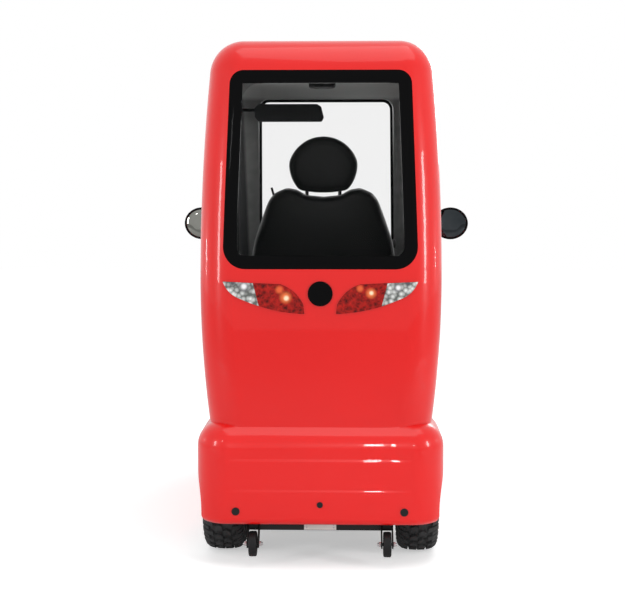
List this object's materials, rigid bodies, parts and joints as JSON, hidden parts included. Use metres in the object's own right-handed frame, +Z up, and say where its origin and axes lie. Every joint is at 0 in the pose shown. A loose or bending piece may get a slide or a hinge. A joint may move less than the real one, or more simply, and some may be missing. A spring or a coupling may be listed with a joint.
{
  "type": "enclosed mobility scooter",
  "caption": "Narrow closed-cab mobility scooter with small wheels, hinged doors, tiller steering, a padded seat and anti-tip wheels behind; carries one person.",
  "frame": {"origin": "on the floor under the middle of the whole vehicle", "axes": "+Y the way it drives, +X its right side, +Z up"},
  "size_m": [1.095, 1.6425, 1.6],
  "materials": {
    "body_red": "gloss",
    "glass": "gloss",
    "black_gloss": "gloss",
    "black_plastic": "satin",
    "grey_lining": "matte",
    "grey_floor": "satin",
    "frame_black": "satin",
    "axle_metal": "satin",
    "steel": "satin",
    "alloy": "satin",
    "tyre": "matte",
    "grip": "matte",
    "seat": "satin",
    "chrome": "gloss",
    "lamp_red": "gloss",
    "lamp_clear": "gloss",
    "plate": "satin"
  },
  "bodies": {
    "chassis": {"anti_tip_bar": "frame_black", "axle_saddles": "frame_black", "badge_disc": "black_gloss", "battery_block": "axle_metal", "bulkhead_dash": "black_plastic", "bumper_plugs": "black_plastic", "chassis_frame": "frame_black", "door_hinges": "steel", "floor_pan": "grey_floor", "frame_cross_tubes": "frame_black", "frame_outriggers": "frame_black", "front_axle": "axle_metal", "front_bumper": "body_red", "front_cowl": "body_red", "front_housings": "grey_floor", "headlamps": "lamp_clear", "headliner": "grey_lining", "headrest": "seat", "headrest_posts": "chrome", "inside_mirror": "black_plastic", "rear_bumper": "body_red", "rear_deck": "grey_floor", "rear_plate": "plate", "rear_shell": "body_red", "rear_window_glass": "glass", "rear_window_seal": "black_gloss", "roof_panel": "body_red", "seat_back": "seat", "seat_cushion": "seat", "seat_pedestal": "grey_floor", "sills": "body_red", "steering_column": "black_plastic", "tail_lamps_clear": "lamp_clear", "tail_lamps_red": "lamp_red", "transaxle": "axle_metal", "windscreen_glass": "glass", "windscreen_surround": "body_red", "wiper": "black_plastic"},
    "door_right": {"door_right": "body_red", "door_glass_right": "glass", "door_mirror_right": "body_red"},
    "door_left": {"door_left": "body_red", "door_glass_left": "glass", "door_mirror_left": "body_red"},
    "tiller": {"tiller": "black_plastic", "tiller_grips": "grip"},
    "knuckle_right": {"knuckle_right": "axle_metal"},
    "knuckle_left": {"knuckle_left": "axle_metal"},
    "wheel_front_right": {"front_tyre_right": "tyre", "front_rim_right": "alloy"},
    "wheel_front_left": {"front_tyre_left": "tyre", "front_rim_left": "alloy"},
    "wheel_rear_right": {"rear_tyre_right": "tyre", "rear_rim_right": "alloy"},
    "wheel_rear_left": {"rear_tyre_left": "tyre", "rear_rim_left": "alloy"},
    "tip_wheel_right": {"tip_wheel_right": "black_plastic"},
    "tip_wheel_left": {"tip_wheel_left": "black_plastic"}
  },
  "joints": [
    {"name": "door_right_hinge", "type": "hinge", "parent": "chassis", "child": "door_right", "pos_m": [0.384, 0.476, 0.66], "axis": [0, 0, 1], "range_deg": [0, 70]},
    {"name": "door_left_hinge", "type": "hinge", "parent": "chassis", "child": "door_left", "pos_m": [-0.384, 0.476, 0.66], "axis": [0, 0, -1], "range_deg": [0, 70]},
    {"name": "tiller_turn", "type": "hinge", "parent": "chassis", "child": "tiller", "pos_m": [0, 0.3, 0.1463], "axis": [0, -0.1392, 0.9903], "range_deg": [-40, 40]},
    {"name": "steer_right", "type": "hinge", "parent": "chassis", "child": "knuckle_right", "pos_m": [0.252, 0.56, 0.165], "axis": [0, 0, 1], "range_deg": [-28, 28]},
    {"name": "steer_left", "type": "hinge", "parent": "chassis", "child": "knuckle_left", "pos_m": [-0.252, 0.56, 0.165], "axis": [0, 0, 1], "range_deg": [-28, 28]},
    {"name": "front_wheel_right_spin", "type": "hinge", "parent": "knuckle_right", "child": "wheel_front_right", "pos_m": [0.295, 0.56, 0.165], "axis": [1, 0, 0], "continuous": true},
    {"name": "rear_wheel_right_spin", "type": "hinge", "parent": "chassis", "child": "wheel_rear_right", "pos_m": [0.301, -0.575, 0.165], "axis": [1, 0, 0], "continuous": true},
    {"name": "tip_wheel_right_spin", "type": "hinge", "parent": "chassis", "child": "tip_wheel_right", "pos_m": [0.203, -0.782, 0.068], "axis": [1, 0, 0], "continuous": true},
    {"name": "front_wheel_left_spin", "type": "hinge", "parent": "knuckle_left", "child": "wheel_front_left", "pos_m": [-0.295, 0.56, 0.165], "axis": [1, 0, 0], "continuous": true},
    {"name": "rear_wheel_left_spin", "type": "hinge", "parent": "chassis", "child": "wheel_rear_left", "pos_m": [-0.301, -0.575, 0.165], "axis": [1, 0, 0], "continuous": true},
    {"name": "tip_wheel_left_spin", "type": "hinge", "parent": "chassis", "child": "tip_wheel_left", "pos_m": [-0.203, -0.782, 0.068], "axis": [1, 0, 0], "continuous": true}
  ],
  "couplings": [
    {"joint": "steer_right", "follows": "tiller_turn", "ratio": 0.7},
    {"joint": "steer_left", "follows": "tiller_turn", "ratio": 0.7}
  ]
}
